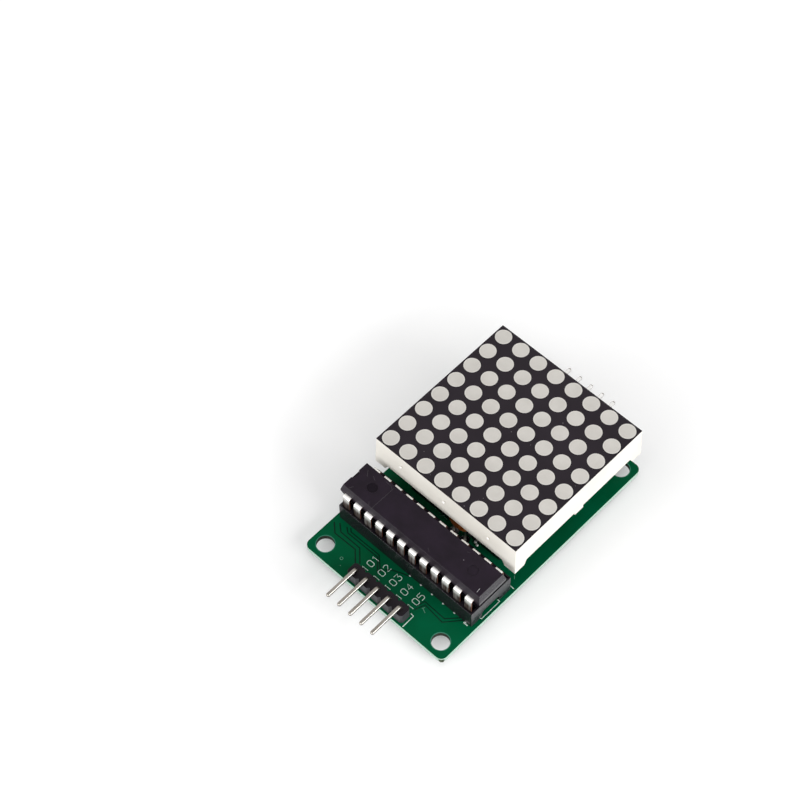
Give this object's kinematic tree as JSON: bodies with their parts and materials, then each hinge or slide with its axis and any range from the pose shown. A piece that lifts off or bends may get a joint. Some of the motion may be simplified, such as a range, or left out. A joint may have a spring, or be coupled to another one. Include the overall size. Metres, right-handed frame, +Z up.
{
  "type": "led dot matrix",
  "caption": "Small display module: a green board with a square grid of lamp dots in a white housing, a driver chip in a socket and a bent pin header at each end.",
  "frame": {"origin": "centre of the footprint, on the surface that the soldered joints stand on", "axes": "+X across the board, +Y from the input header to the output header, +Z up through the display's face"},
  "size_m": [0.032, 0.0614, 0.0158],
  "materials": {
    "solder_mask_green": "glossy green board lacquer over copper and glass fibre board",
    "housing_white": "white moulded plastic with a slight sheen",
    "mask_black": "flat black print",
    "base_board": "bare glass fibre board",
    "clear_resin": "poured resin",
    "tinned_metal": "bright tin",
    "black_plastic": "black moulded plastic, half gloss",
    "chip_mould": "dark moulding compound with a fine satin grain",
    "resistor_lacquer": "beige lacquer with colour bands",
    "ceramic_lacquer": "orange brown dipped lacquer",
    "can_metal": "plain aluminium can",
    "sleeve_plastic": "shrunk plastic sleeve",
    "bung_rubber": "rubber bung",
    "solder": "bright solder"
  },
  "bodies": {
    "root": {"ceramic_capacitor": "ceramic_lacquer", "ceramic_wires": "tinned_metal", "chip_leads_front": "tinned_metal", "chip_leads_rear": "tinned_metal", "chip_socket": "black_plastic", "circuit_board": "solder_mask_green", "display_backfill": "clear_resin", "display_housing": "housing_white", "display_pins_front": "tinned_metal", "display_pins_rear": "tinned_metal", "driver_chip": "chip_mould", "electrolytic_bung": "bung_rubber", "electrolytic_can": "can_metal", "electrolytic_sleeve": "sleeve_plastic", "electrolytic_wires": "tinned_metal", "face_mask": "mask_black", "header_joints": "solder", "input_header": "black_plastic", "input_pin_1": "tinned_metal", "input_pin_2": "tinned_metal", "input_pin_3": "tinned_metal", "input_pin_4": "tinned_metal", "input_pin_5": "tinned_metal", "lamp_base": "base_board", "output_header": "black_plastic", "output_pin_1": "tinned_metal", "output_pin_2": "tinned_metal", "output_pin_3": "tinned_metal", "output_pin_4": "tinned_metal", "output_pin_5": "tinned_metal", "resistor_body": "resistor_lacquer", "resistor_wires": "tinned_metal", "socket_contacts_front": "tinned_metal", "socket_contacts_rear": "tinned_metal", "socket_joints": "solder", "strip_contacts_front": "tinned_metal", "strip_contacts_rear": "tinned_metal", "strip_front": "black_plastic", "strip_joints": "solder", "strip_rear": "black_plastic", "wire_joints": "solder"}
  },
  "joints": []
}
